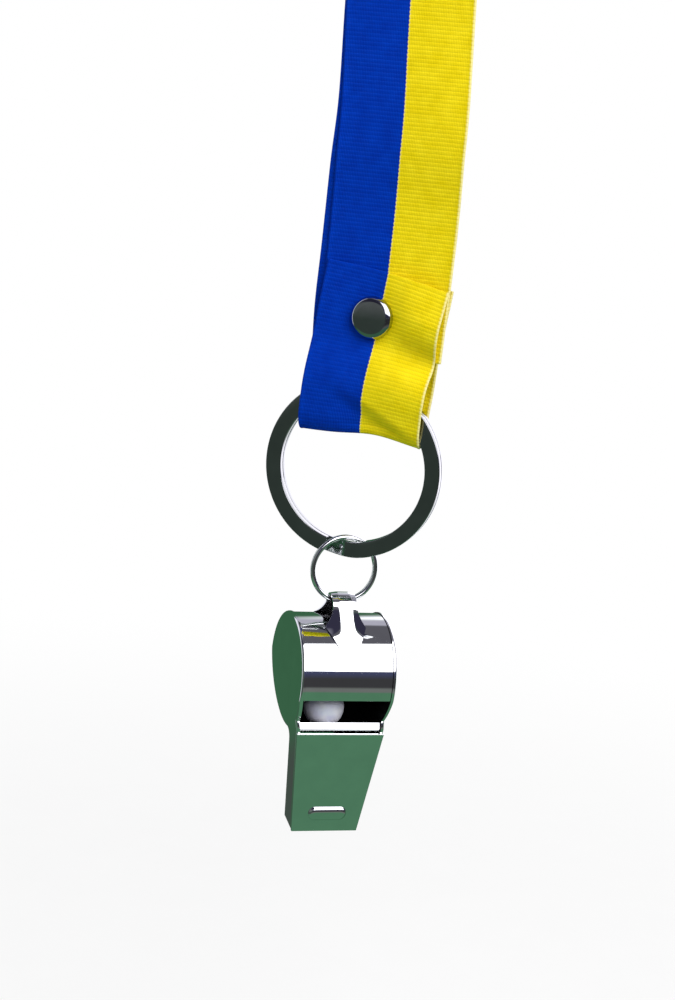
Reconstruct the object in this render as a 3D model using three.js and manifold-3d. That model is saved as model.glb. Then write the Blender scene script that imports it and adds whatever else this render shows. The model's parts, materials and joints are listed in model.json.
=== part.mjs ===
// A polished metal pea whistle on a split ring and a two-colour ribbon lanyard.
// Millimetres, +Z up. The ribbon's front faces -Y, and the origin is under the crown of its loop,
// where a hook or a finger holds it.

import * as THREE from 'three';
import { mergeVertices } from 'three/addons/utils/BufferGeometryUtils.js';
import Module from 'manifold-3d';

const wasm = await Module();
wasm.setup();

// Ribbon and its folded tab
const RIBBON_WIDTH = 25;
const RIBBON_THICK = 0.45;
const LAYER_GAP = 0.3;
const LOOP_DROP = 100;
const CROWN_RADIUS = 6;
const CROWN_OPENING = 26;
const RIBBON_END_DROP = 7.3;
const TAB_DRAWN_IN = 0.6;
const TAB_WIDTH = RIBBON_WIDTH - TAB_DRAWN_IN;
const TAB_RISE = 9.3;
const TAB_HOLD = 5;
const RING_TOP_ROOM = 0.7;

// Two-cap rivet through the ribbon
const RIVET_OFFSET = 1.4;
const CAP_RADIUS = 4.1;
const CAP_RISE = 2.1;
const CAP_RIM = 0.5;
const CAP_WALL = 0.4;
const FLANGE_THICK = 0.4;
const POST_RADIUS = 0.95;
const SOCKET_WALL = 0.4;
const RIVET_SEAT_GAP = 0.15;
const RIVET_CLEARANCE = 0.3;
const POST_CLEARANCE = 0.15;

// Split ring of flat wire, two turns, with its kink at the bottom
const RING_DROP = 29.4;
const RING_SIDE_ROOM = 2;
const WIRE_RADIAL = 3;
const WIRE_AXIAL = 1.25;
const WIRE_CHAMFER = 0.25;
const TURN_GAP = 0.45;
const KINK_ANGLE = 11;
const WIRE_END_ANGLE = 14.5;
const WIRE_STEP = 6;

// Link ring of round wire
const LINK_RADIUS = 6.85;
const LINK_WIRE = 1.05;
const LINK_SLACK = 0.2;
const LINK_JOINT_GAP = 0.4;
const LINK_STEPS = 40;
const LINK_SIDES = 8;

// Whistle, with heights and depths counted from the barrel's axis
const WHISTLE_TURN = 34.5;
const WHISTLE_TILT = 12.9;
const WHISTLE_WIDTH = 19.1;
const SHEET = 0.5;
const SEAM_GAP = 0.15;
const BARREL_RADIUS = 11.3;
const CHEEK_THICK = 0.7;
const CHEEK_RIM = 0.2;
const CHEEK_NOTCH_ANGLE = 122;
const TAPER_START = 1;
const MOUTH_WIDTH = 13.45;
const MOUTH_REACH = 30.2;
const MOUTH_FRONT = 11.2;
const MOUTH_DEPTH = 5.7;
const WALL_FILLET = 2;
const LIP_ANGLE = 94;
const PLATE_TOP = 8.2;
const AIR_SLOT = 0.6;
const ROLL_RADIUS = 0.8;
const ROLL_AHEAD = 0.7;
const FLOOR_INSET = 1;
const BAR_LENGTH = 7.9;
const BAR_WIDTH = 3;
const BAR_RISE = 0.7;
const BAR_FROM_END = 4.1;

// Lug on the barrel for the link ring
const LUG_BACK_ANGLE = 8;
const LUG_THICK = 0.6;
const LUG_NECK = 4.2;
const LUG_RIDGE = 2.4;
const LUG_FOOT = 8.4;
const LUG_TIP = 3.4;
const LUG_FOOT_ANGLE = 52;
const LUG_FRONT_BEND = 3.4;
const LUG_BACK_MEETS = 72;
const EYE_STANDOFF = 3.1;
const EYE_CLEARANCE = 0.25;

// Loose pea
const PEA_RADIUS = 4.1;
const PEA_GAP = 0.3;
const PEA_OFFSET = -2.1;

// Fineness of round stretches
const ARC_STEP = 10;
const EASE_STEPS = 8;
const ROUND_SIDES = 24;
const LEG_STEPS = 5;
const LUG_COLUMNS = 8;
const WELD_DISTANCE = 1e-4;

const DEG = Math.PI / 180;
const X_AXIS = new THREE.Vector3(1, 0, 0);
const Y_AXIS = new THREE.Vector3(0, 1, 0);
const Z_AXIS = new THREE.Vector3(0, 0, 1);

// Heights along the chain, from the crown of the loop down
const rivetZ = -LOOP_DROP;
const ringZ = rivetZ - RING_DROP;
const ringInner = RIBBON_WIDTH / 2 + RING_SIDE_ROOM;
const ringMid = ringInner + WIRE_RADIAL / 2;
const ringOuter = ringInner + WIRE_RADIAL;
const ringHalfDepth = WIRE_AXIAL + TURN_GAP / 2;
const linkMid = LINK_RADIUS - LINK_WIRE / 2;
const linkZ = ringZ - ringInner - (linkMid - LINK_WIRE / 2) + LINK_SLACK;
const eyeZ = linkZ - linkMid;

// Whistle sizes that follow from the driving ones
const cheekRadius = BARREL_RADIUS + CHEEK_RIM;
const wrapMid = BARREL_RADIUS - SHEET / 2;
const backWallY = -(MOUTH_FRONT - MOUTH_DEPTH + SHEET / 2);
const filletY = backWallY + WALL_FILLET;
const filletZ = -Math.sqrt((wrapMid + WALL_FILLET) ** 2 - filletY ** 2);
const filletAngle = Math.atan2(-filletZ, -filletY) / DEG;
const rollY = -(MOUTH_FRONT - SHEET - AIR_SLOT - ROLL_RADIUS);
const rollZ = -(PLATE_TOP - ROLL_AHEAD);
const linkSag = linkMid - Math.sqrt(linkMid ** 2 - (LUG_NECK / 2) ** 2);
const eyeRadius = LINK_WIRE / 2 + linkSag + EYE_CLEARANCE;
const eyeHeight = BARREL_RADIUS + EYE_STANDOFF;

// Points of a round stretch in the side view, angles in degrees from +Y towards +Z
function arc(y, z, radius, from, to) {
  const steps = Math.max(2, Math.ceil(Math.abs(to - from) / ARC_STEP));
  return Array.from({ length: steps + 1 }, (_, i) => {
    const angle = (from + (to - from) * i / steps) * DEG;
    return new THREE.Vector2(y + radius * Math.cos(angle), z + radius * Math.sin(angle));
  });
}

function point(y, z) {
  return new THREE.Vector2(y, z);
}

// Points that lead from one side offset to another, level at both ends
function ease(fromY, fromZ, toY, toZ) {
  return Array.from({ length: EASE_STEPS + 1 }, (_, i) => {
    const along = i / EASE_STEPS;
    const share = (1 - Math.cos(Math.PI * along)) / 2;
    return point(fromY + (toY - fromY) * share, fromZ + (toZ - fromZ) * along);
  });
}

// Outline of a sheet of one thickness along a centre line
function strip(line, thickness) {
  const front = [];
  const back = [];
  line.forEach((here, i) => {
    const before = line[Math.max(i - 1, 0)];
    const after = line[Math.min(i + 1, line.length - 1)];
    const along = after.clone().sub(before).normalize();
    const across = point(-along.y, along.x).multiplyScalar(thickness / 2);
    front.push(here.clone().add(across));
    back.unshift(here.clone().sub(across));
  });
  return new THREE.Shape([...front, ...back]);
}

function extrude(shape, depth, basis) {
  const geometry = new THREE.ExtrudeGeometry(shape, { depth, bevelEnabled: false });
  geometry.translate(0, 0, -depth / 2);
  return geometry.applyMatrix4(basis);
}

// A side view (Y, Z) carried across X, and a front view (X, Z) carried through Y
function acrossX(shape, width) {
  return extrude(shape, width, new THREE.Matrix4().makeBasis(Y_AXIS, Z_AXIS, X_AXIS));
}

function throughY(shape, depth) {
  return extrude(shape, depth, new THREE.Matrix4().makeBasis(X_AXIS, Z_AXIS, Y_AXIS.clone().negate()));
}

function toSolid(geometry) {
  const bare = geometry.clone();
  bare.deleteAttribute('normal');
  bare.deleteAttribute('uv');
  const merged = mergeVertices(bare, WELD_DISTANCE);
  const corners = [];
  for (let i = 0; i < merged.index.count; i += 3) {
    const [a, b, c] = [0, 1, 2].map((k) => merged.index.getX(i + k));
    if (a !== b && b !== c && c !== a) corners.push(a, b, c);
  }
  return new wasm.Manifold(new wasm.Mesh({
    numProp: 3,
    vertProperties: new Float32Array(merged.attributes.position.array),
    triVerts: new Uint32Array(corners),
  }));
}

function toGeometry(solid) {
  const { vertProperties, triVerts } = solid.getMesh();
  const geometry = new THREE.BufferGeometry();
  geometry.setAttribute('position', new THREE.BufferAttribute(new Float32Array(vertProperties), 3));
  geometry.setIndex(new THREE.BufferAttribute(new Uint32Array(triVerts), 1));
  geometry.computeVertexNormals();
  return geometry;
}

function common(first, second) {
  return toSolid(first).intersect(toSolid(second));
}

// A closed tube through sections that all have the same number of points
function sweep(sections) {
  const count = sections[0].length;
  const last = (sections.length - 1) * count;
  const corners = [];
  for (let i = 0; i < last; i += count) {
    for (let j = 0; j < count; j += 1) {
      const next = (j + 1) % count;
      corners.push(i + j, i + count + next, i + next, i + j, i + count + j, i + count + next);
    }
  }
  for (let j = 1; j < count - 1; j += 1) {
    corners.push(0, j, j + 1, last, last + j + 1, last + j);
  }
  const geometry = new THREE.BufferGeometry().setFromPoints(sections.flat());
  geometry.setIndex(corners);
  geometry.computeVertexNormals();
  return geometry;
}

function finish(color, roughness, metalness) {
  return new THREE.MeshStandardMaterial({ color, roughness, metalness });
}

function piece(parent, name, geometry, material) {
  const mesh = new THREE.Mesh(geometry, material);
  mesh.name = name;
  parent.add(mesh);
  return mesh;
}

const ribbonFinish = finish(0x0a3cb4, 0.75, 0);
const chromeFinish = finish(0xd9dcdf, 0.1, 1);
const blackNickelFinish = finish(0x2a2e2b, 0.2, 1);
const gunmetalFinish = finish(0x3b3c40, 0.18, 1);
const peaFinish = finish(0xece9ee, 0.5, 0);

const model = new THREE.Group();

// Rivet stack, measured from the middle of the ribbon layers to either side
const stackHalf = LAYER_GAP / 2 + 2 * RIBBON_THICK + LAYER_GAP;
const flangeFace = stackHalf + RIVET_SEAT_GAP;
const flangeRadius = CAP_RADIUS - CAP_WALL - RIVET_CLEARANCE;
const socketBore = POST_RADIUS + POST_CLEARANCE;
const socketRadius = socketBore + SOCKET_WALL;
const rivetHole = socketRadius + RIVET_CLEARANCE;

function rivetHoleCutter() {
  const cutter = new THREE.CylinderGeometry(rivetHole, rivetHole, 4 * flangeFace, ROUND_SIDES);
  return toSolid(cutter.translate(RIVET_OFFSET, 0, rivetZ));
}

// The ribbon loop: two layers together down to the rivet, open round the crown
function lanyardRibbon() {
  const legY = (LAYER_GAP + RIBBON_THICK) / 2;
  const crownY = CROWN_RADIUS + RIBBON_THICK / 2;
  const crownZ = -CROWN_RADIUS;
  const endZ = rivetZ - RIBBON_END_DROP;
  const openZ = crownZ - CROWN_OPENING;
  const line = [
    point(-legY, endZ),
    ...ease(-legY, openZ, -crownY, crownZ),
    ...arc(0, crownZ, crownY, 180, 0).slice(1, -1),
    ...ease(crownY, crownZ, legY, openZ),
    point(legY, endZ),
  ];
  const loop = toSolid(acrossX(strip(line, RIBBON_THICK), RIBBON_WIDTH));
  return toGeometry(loop.subtract(rivetHoleCutter()));
}

// The tab: its fold carries the split ring's arc at the ribbon's two edges
function ringTab() {
  const clampY = stackHalf - RIBBON_THICK / 2;
  const innerY = ringHalfDepth + LAYER_GAP;
  const foldY = innerY + RIBBON_THICK / 2;
  const arcAtEdge = Math.sqrt(ringInner ** 2 - (TAB_WIDTH / 2) ** 2);
  const cornerDrop = Math.sqrt(innerY ** 2 - ringHalfDepth ** 2);
  const foldZ = ringZ + arcAtEdge + cornerDrop - LAYER_GAP;
  const topZ = rivetZ + TAB_RISE;
  const holdZ = rivetZ - TAB_HOLD;
  const flareZ = ringZ + ringOuter + RING_TOP_ROOM;
  const line = [
    point(-clampY, topZ),
    ...ease(-clampY, holdZ, -foldY, flareZ),
    ...arc(0, foldZ, foldY, 180, 360),
    ...ease(foldY, flareZ, clampY, holdZ),
    point(clampY, topZ),
  ];
  const tab = toSolid(acrossX(strip(line, RIBBON_THICK), TAB_WIDTH));
  return toGeometry(tab.subtract(rivetHoleCutter()));
}

// Rivet pieces are turned about Y, with +Y away from the ribbon
function rivetCap() {
  const dome = (radius, rise) => arc(0, 0, 1, 0, 90).map(
    (p) => point(p.x * radius, flangeFace + CAP_RIM + p.y * (rise - CAP_RIM)),
  );
  const inside = dome(CAP_RADIUS - CAP_WALL, CAP_RISE - CAP_WALL).reverse();
  const outside = dome(CAP_RADIUS, CAP_RISE);
  const rim = [point(CAP_RADIUS - CAP_WALL, flangeFace), point(CAP_RADIUS, flangeFace)];
  const profile = [...inside, ...rim, ...outside];
  profile[0].x = 0;
  profile[profile.length - 1].x = 0;
  return new THREE.LatheGeometry(profile, ROUND_SIDES);
}

function rivetSocket() {
  const tubeEnd = -(flangeFace - RIVET_CLEARANCE);
  const profile = [
    point(socketBore, tubeEnd),
    point(socketRadius, tubeEnd),
    point(socketRadius, flangeFace),
    point(flangeRadius, flangeFace),
    point(flangeRadius, flangeFace + FLANGE_THICK),
    point(socketBore, flangeFace + FLANGE_THICK),
    point(socketBore, tubeEnd),
  ];
  return new THREE.LatheGeometry(profile, ROUND_SIDES);
}

function rivetPost() {
  const profile = [
    point(0, -flangeFace),
    point(POST_RADIUS, -flangeFace),
    point(POST_RADIUS, flangeFace),
    point(flangeRadius, flangeFace),
    point(flangeRadius, flangeFace + FLANGE_THICK),
    point(0, flangeFace + FLANGE_THICK),
  ];
  return new THREE.LatheGeometry(profile, ROUND_SIDES);
}

const lanyard = new THREE.Group();
model.add(lanyard);
piece(lanyard, 'lanyard_ribbon', lanyardRibbon(), ribbonFinish);
piece(lanyard, 'ring_tab', ringTab(), ribbonFinish);

const rivetFront = new THREE.Group();
rivetFront.position.set(RIVET_OFFSET, 0, rivetZ);
rivetFront.rotation.z = Math.PI;
lanyard.add(rivetFront);
piece(rivetFront, 'rivet_front_cap', rivetCap(), gunmetalFinish);
piece(rivetFront, 'rivet_socket', rivetSocket(), gunmetalFinish);

const rivetBack = new THREE.Group();
rivetBack.position.set(RIVET_OFFSET, 0, rivetZ);
lanyard.add(rivetBack);
piece(rivetBack, 'rivet_back_cap', rivetCap(), gunmetalFinish);
piece(rivetBack, 'rivet_post', rivetPost(), gunmetalFinish);

// Sections of the split ring's wire. Angles run from the bottom up the left side, front turn first.
function splitRingSections() {
  const turnY = (WIRE_AXIAL + TURN_GAP) / 2;
  const [half, deep, cut] = [WIRE_RADIAL / 2, WIRE_AXIAL / 2, WIRE_CHAMFER];
  const outline = [
    [half - cut, -deep], [half, cut - deep], [half, deep - cut], [half - cut, deep],
    [cut - half, deep], [-half, deep - cut], [-half, cut - deep], [cut - half, -deep],
  ];
  const lastAngle = 720 - WIRE_END_ANGLE;
  const steps = Math.ceil((lastAngle - WIRE_END_ANGLE) / WIRE_STEP);
  return Array.from({ length: steps + 1 }, (_, i) => {
    const angle = Math.min(WIRE_END_ANGLE + WIRE_STEP * i, lastAngle);
    const shift = THREE.MathUtils.smoothstep(angle, 360 - KINK_ANGLE, 360 + KINK_ANGLE);
    const outward = new THREE.Vector3(-Math.sin(angle * DEG), 0, -Math.cos(angle * DEG));
    const middle = outward.clone().multiplyScalar(ringMid).setY(turnY * (2 * shift - 1));
    return outline.map(([radial, axial]) => middle.clone()
      .addScaledVector(outward, radial)
      .addScaledVector(Y_AXIS, axial));
  });
}

// Least distance between sections that lie more than half a turn apart along the wire
function leastGap(sections) {
  const apart = Math.ceil(180 / WIRE_STEP);
  let least = Infinity;
  sections.forEach((section, i) => {
    for (const other of sections.slice(i + apart)) {
      for (const a of section) {
        for (const b of other) least = Math.min(least, a.distanceTo(b));
      }
    }
  });
  return least;
}

const splitRing = new THREE.Group();
splitRing.position.z = ringZ;
model.add(splitRing);
const wireSections = splitRingSections();
console.log(`split ring: least gap between its turns ${leastGap(wireSections).toFixed(2)} mm`);
piece(splitRing, 'split_ring', sweep(wireSections), blackNickelFinish);

// The link ring stands in the whistle's XZ plane, with its butt joint inside the lug's eye
function linkRing() {
  const jointAngle = LINK_JOINT_GAP / linkMid / DEG;
  const span = 360 - jointAngle;
  const sections = Array.from({ length: LINK_STEPS + 1 }, (_, i) => {
    const angle = (jointAngle / 2 + span * i / LINK_STEPS) * DEG;
    const outward = new THREE.Vector3(-Math.sin(angle), 0, -Math.cos(angle));
    const middle = outward.clone().multiplyScalar(linkMid);
    return Array.from({ length: LINK_SIDES }, (__, j) => {
      const turn = 2 * Math.PI * j / LINK_SIDES;
      return middle.clone()
        .addScaledVector(outward, LINK_WIRE / 2 * Math.cos(turn))
        .addScaledVector(Y_AXIS, LINK_WIRE / 2 * Math.sin(turn));
    });
  });
  return sweep(sections);
}

const hanging = new THREE.Group();
hanging.position.z = eyeZ;
hanging.rotation.z = WHISTLE_TURN * DEG;
model.add(hanging);
const link = piece(hanging, 'link_ring', linkRing(), chromeFinish);
link.position.z = linkMid;

// Front view of the whistle's body inside its two cheeks, or over them where inset is 0
function bodyPlan(inset) {
  const top = 2 * cheekRadius;
  const [barrel, mouth] = [WHISTLE_WIDTH / 2 - inset, MOUTH_WIDTH / 2 - inset];
  return new THREE.Shape([
    point(-barrel, top), point(-barrel, -TAPER_START), point(-mouth, -MOUTH_REACH),
    point(mouth, -MOUTH_REACH), point(barrel, -TAPER_START), point(barrel, top),
  ]);
}

// One cheek's band in that front view, side -1 left and +1 right
function cheekPlan(side) {
  const top = 2 * cheekRadius;
  const [barrel, mouth] = [side * WHISTLE_WIDTH / 2, side * MOUTH_WIDTH / 2];
  const wall = side * CHEEK_THICK;
  return new THREE.Shape([
    point(barrel, top), point(barrel, -TAPER_START), point(mouth, -MOUTH_REACH),
    point(mouth - wall, -MOUTH_REACH), point(barrel - wall, -TAPER_START), point(barrel - wall, top),
  ]);
}

const wholeWidth = 2 * WHISTLE_WIDTH;
const wholeDepth = 6 * cheekRadius;
const betweenCheeks = throughY(bodyPlan(CHEEK_THICK + SEAM_GAP), wholeDepth);

function cheek(side) {
  const frontY = -(MOUTH_FRONT - SHEET - SEAM_GAP);
  const backY = backWallY + SHEET / 2 + CHEEK_RIM;
  const filletRadius = WALL_FILLET - SHEET / 2 - CHEEK_RIM;
  const round = arc(0, 0, cheekRadius, 90 + CHEEK_NOTCH_ANGLE, filletAngle - 180);
  const outline = new THREE.Shape([
    point(frontY, -MOUTH_REACH),
    point(frontY, rollZ),
    ...round,
    ...arc(filletY, filletZ, filletRadius, filletAngle, 180).slice(1),
    point(backY, -MOUTH_REACH),
  ]);
  return toGeometry(common(acrossX(outline, wholeWidth), throughY(cheekPlan(side), wholeDepth)));
}

// Barrel strip from the window's lip over the top and the back into the mouthpiece's back wall
function barrelWrap() {
  const line = [
    ...arc(0, 0, wrapMid, 90 + LIP_ANGLE, filletAngle - 180),
    ...arc(filletY, filletZ, WALL_FILLET, filletAngle, 180).slice(1),
    point(backWallY, -MOUTH_REACH),
  ];
  return toGeometry(common(acrossX(strip(line, SHEET), wholeWidth), betweenCheeks));
}

// Front plate over both cheeks, with the raised bar that the teeth hold
function mouthpiecePlate() {
  const outline = strip([
    point(SHEET / 2 - MOUTH_FRONT, -PLATE_TOP),
    point(SHEET / 2 - MOUTH_FRONT, -MOUTH_REACH),
  ], SHEET);
  const plate = common(acrossX(outline, wholeWidth), throughY(bodyPlan(0), wholeDepth));
  const straight = BAR_LENGTH - BAR_WIDTH;
  const bar = new THREE.CapsuleGeometry(BAR_WIDTH / 2, straight, ROUND_SIDES / 4, ROUND_SIDES)
    .rotateZ(Math.PI / 2)
    .scale(1, 2 * BAR_RISE / BAR_WIDTH, 1)
    .translate(0, -MOUTH_FRONT, BAR_FROM_END - MOUTH_REACH);
  return toGeometry(plate.add(toSolid(bar)));
}

// Floor of the windway, from the mouth up to its rolled end at the air slot
function windwayFloor() {
  const seatY = backWallY - SHEET - SEAM_GAP;
  const line = [point(seatY, FLOOR_INSET - MOUTH_REACH), point(rollY, rollZ)];
  const roll = new THREE.CylinderGeometry(ROLL_RADIUS, ROLL_RADIUS, wholeWidth, ROUND_SIDES)
    .rotateZ(Math.PI / 2)
    .translate(0, rollY, rollZ);
  const floor = toSolid(acrossX(strip(line, SHEET), wholeWidth)).add(toSolid(roll));
  return toGeometry(floor.intersect(toSolid(betweenCheeks)));
}

// Strap of the lug, bent over the link's wire and straight down to the barrel, in an easy bend in front
// and a tight one behind. It spreads below the bend, and its edges turn down to the barrel there. It is
// made upright and then leant back round the barrel.
function ringLug() {
  const footMid = BARREL_RADIUS + SEAM_GAP + LUG_THICK / 2;
  const loopRadius = eyeRadius + LUG_THICK / 2;
  const crownZ = eyeHeight + loopRadius;
  const halfLine = (bend, meets) => {
    const footing = arc(0, 0, footMid, meets, 90 - LUG_FOOT_ANGLE);
    const toFoot = footing[0].clone().sub(point(0, crownZ - bend));
    const leaves = (Math.atan2(toFoot.y, toFoot.x) + Math.acos(bend / toFoot.length())) / DEG;
    const loop = arc(0, crownZ - bend, bend, 90, leaves);
    const leg = Array.from({ length: LEG_STEPS - 1 }, (_, i) => (
      loop[loop.length - 1].clone().lerp(footing[0], (i + 1) / LEG_STEPS)
    ));
    return [...loop, ...leg, ...footing];
  };
  const frontMeets = Math.asin((footMid - LUG_FRONT_BEND) / (crownZ - LUG_FRONT_BEND)) / DEG;
  const frontHalf = halfLine(LUG_FRONT_BEND, frontMeets).map((p) => point(-p.x, p.y));
  const backHalf = halfLine(loopRadius, LUG_BACK_MEETS);
  const line = [...frontHalf.slice(1).reverse(), ...backHalf];
  const [neck, ridge, foot, tip] = [LUG_NECK / 2, LUG_RIDGE / 2, LUG_FOOT / 2, LUG_TIP / 2];
  const tipZ = line[0].y;
  const spread = (z) => 1 - THREE.MathUtils.clamp((z - BARREL_RADIUS) / EYE_STANDOFF, 0, 1);
  const halfWidth = (z) => {
    const below = THREE.MathUtils.clamp((BARREL_RADIUS - z) / (BARREL_RADIUS - tipZ), 0, 1);
    return neck + (foot - neck) * spread(z) ** 2 + (tip - foot) * below;
  };
  const sections = line.map((here, i) => {
    const before = line[Math.max(i - 1, 0)];
    const after = line[Math.min(i + 1, line.length - 1)];
    const along = after.clone().sub(before).normalize();
    const room = Math.max(here.length() - footMid, 0) * spread(here.y);
    const side = (face) => Array.from({ length: LUG_COLUMNS + 1 }, (_, j) => {
      const x = halfWidth(here.y) * (2 * j / LUG_COLUMNS - 1);
      const edge = THREE.MathUtils.clamp((Math.abs(x) - ridge) / (foot - ridge), 0, 1);
      const reach = face * LUG_THICK / 2 - room * edge ** 2;
      return new THREE.Vector3(x, here.x - along.y * reach, here.y + along.x * reach);
    });
    return [...side(-1), ...side(1).reverse()];
  });
  return sweep(sections).rotateX(-LUG_BACK_ANGLE * DEG);
}

// Where the pea lies at rest: against the bend of the back wall and the floor's rolled end
function peaSeat() {
  const bend = point(filletY, filletZ);
  const roll = point(rollY, rollZ);
  const fromBend = WALL_FILLET + SHEET / 2 + PEA_GAP + PEA_RADIUS;
  const fromRoll = ROLL_RADIUS + PEA_GAP + PEA_RADIUS;
  const span = roll.clone().sub(bend);
  const along = (fromBend ** 2 - fromRoll ** 2 + span.lengthSq()) / (2 * span.length());
  const aside = Math.sqrt(fromBend ** 2 - along ** 2);
  const step = span.normalize();
  return bend.addScaledVector(step, along).addScaledVector(point(step.y, -step.x), aside);
}

// The whistle swings on the link's wire, which runs through the middle of the eye
const swing = new THREE.Group();
swing.rotation.x = WHISTLE_TILT * DEG;
hanging.add(swing);
const whistle = new THREE.Group();
whistle.position.y = -eyeHeight * Math.sin(LUG_BACK_ANGLE * DEG);
whistle.position.z = -eyeHeight * Math.cos(LUG_BACK_ANGLE * DEG);
swing.add(whistle);
piece(whistle, 'left_cheek', cheek(-1), chromeFinish);
piece(whistle, 'right_cheek', cheek(1), chromeFinish);
piece(whistle, 'barrel_wrap', barrelWrap(), chromeFinish);
piece(whistle, 'mouthpiece_plate', mouthpiecePlate(), chromeFinish);
piece(whistle, 'windway_floor', windwayFloor(), chromeFinish);
piece(whistle, 'ring_lug', ringLug(), chromeFinish);

const seat = peaSeat();
const ball = new THREE.SphereGeometry(PEA_RADIUS, ROUND_SIDES, ROUND_SIDES / 2);
const pea = piece(whistle, 'pea', ball, peaFinish);
pea.position.set(PEA_OFFSET, seat.x, seat.y);

export default model;
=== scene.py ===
"""A polished pea whistle on a split ring and a two-colour ribbon lanyard, dressed for its photograph."""
import json
import math

import bmesh
import bpy
import numpy as np
from mathutils import Matrix, Vector


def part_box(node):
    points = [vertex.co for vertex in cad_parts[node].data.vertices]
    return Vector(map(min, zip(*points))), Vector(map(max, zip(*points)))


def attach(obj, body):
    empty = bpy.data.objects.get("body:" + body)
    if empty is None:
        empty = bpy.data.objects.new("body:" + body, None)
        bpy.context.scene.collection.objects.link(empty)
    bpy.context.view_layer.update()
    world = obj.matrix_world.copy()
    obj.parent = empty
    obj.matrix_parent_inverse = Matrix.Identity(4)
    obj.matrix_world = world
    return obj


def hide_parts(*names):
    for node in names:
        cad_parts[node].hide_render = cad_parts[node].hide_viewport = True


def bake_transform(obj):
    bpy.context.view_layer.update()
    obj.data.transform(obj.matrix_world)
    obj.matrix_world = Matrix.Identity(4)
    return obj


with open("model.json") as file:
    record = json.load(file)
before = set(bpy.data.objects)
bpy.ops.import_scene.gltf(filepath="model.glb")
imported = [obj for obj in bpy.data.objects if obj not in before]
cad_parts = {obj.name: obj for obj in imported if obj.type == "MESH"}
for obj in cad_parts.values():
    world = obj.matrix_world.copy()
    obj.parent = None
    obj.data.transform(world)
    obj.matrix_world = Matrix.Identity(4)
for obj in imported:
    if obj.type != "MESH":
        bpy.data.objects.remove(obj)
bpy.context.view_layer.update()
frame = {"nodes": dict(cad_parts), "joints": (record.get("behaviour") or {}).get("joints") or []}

# Sizes are in millimetres, as in the solids, and become metres when a mesh is made
MM = 0.001
SAME_PLACE = 0.00001

# Ribbon
RIBBON_WIDTH = 25.0
RIBBON_THICK = 0.45
LAYER_GAP = 0.3
CROWN_RADIUS = 6.0
CROWN_OPENING = 26.0
RIVET_Z = -100.0
RIBBON_END_DROP = 7.3
RIB_PITCH = 0.78
RIB_HEIGHT = 0.075
RIB_LEVEL = 0.6
RIB_FULLNESS = 0.8
RIB_ROWS = 4
SELVEDGE = 0.7
SELVEDGE_BEAD = 0.08
EDGE_ROUND = 0.12
EDGE_THINNEST = 0.35
EDGE_RIB_SHARE = 0.45
EDGE_COLUMNS = (0, EDGE_ROUND, 0.3, 0.5, SELVEDGE)
BODY_COLUMNS = 22
BODY_INSET = 0.6
RIBBON_SHARP = 80.0
THREAD_PITCH = 0.32
COLOUR_STEP = 0.13

# The ribbon's crease and faint ripple, and its sideways shifts as pairs of a height and a shift
CREASE_Z = -67.0
CREASE_DEPTH = 1.1
CREASE_ABOVE = 15.0
CREASE_BELOW = 9.0
CREASE_TOP_Z = -40.0
CREASE_TOP_SOFT = 3.0
CREASE_FOOT_Z = -88.0
CREASE_FOOT_SOFT = 2.0
RIPPLE_Z = -60.0
RIPPLE_REACH = 35.0
RIPPLE_HEIGHT = 0.22
RIPPLE_ACROSS = 7.0
RIPPLE_ALONG = 9.0
STRAP_DRIFT = ((-112, 2.6), (-90, 3.3), (-62, 3.75), (-46, 2.75), (-30, 2.1), (10, 0))
REAR_LAG = (
    (-112, 0.7), (-106, 1.1), (-99, 1.65), (-76, 1.45), (-60, 0.85), (-36, 0.4), (-16, 0), (10, 0),
)
DRIFT_STEPS = 400
DRIFT_BLUR = 30

# Tab
TAB_WIDTH = 24.4
TAB_RISE = 9.3
TAB_HOLD = 3.4
TAB_DRIFT = ((-130, 0.6), (-121, 0.7), (-115, 1.1), (-108, 1.8), (-100, 2.6), (-90, 3.75))
FLARE_DROP = 1.6
FOLD_DEPTH = 2.45
FOLD_HEIGHT = 4.2
FOLD_BOTTOM = -123.1

# How the tab hangs lower on its right
TAB_SLANT = 0.1
SLANT_FOOT_Z = -124.0
SLANT_LENGTH = 30.0
DROOP_FROM_X = -2.0
DROOP_SPREAD = 14.0
DROOP_LIMIT = 1.2
DROOP_AT_FOOT = 0.75
DROOP_HIGHER_UP = 0.15

# How the tab stands off the strap, its pucker beside the rivet and the hollow in its fold
TAB_PUFF = 0.7
TAB_PUFF_REACH = 6.0
REAR_PUFF = 0.3
PUFF_FOOT_Z = -117.0
PUFF_FOOT_SOFT = 1.5
TAB_STANDOFF = 1.6
STANDOFF_BELOW = 0.45
STANDOFF_SOFT = 1.5
TOP_LEAN = 0.6
TOP_LEAN_START = 2.0
TOP_LEAN_LENGTH = 7.0
VALLEY_DROP = 4.0
VALLEY_SLOPE = 0.12
PUCKER_DEPTH = 2.0
PUCKER_ABOVE = 3.4
PUCKER_BELOW = 3.6
PUCKER_FROM_X = 1.0
PUCKER_SPREAD = 7.0
HOLLOW_DEPTH = 1.7
HOLLOW_X = 3.5
HOLLOW_HALF_WIDTH = 6.0
HOLLOW_Z = -116.6
HOLLOW_SLANT = 0.45
HOLLOW_LENGTH = 3.6
HOLLOW_END_Z = -121.0
HOLLOW_END_LENGTH = 2.0
HOLLOW_END_FILL = 0.6

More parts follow.
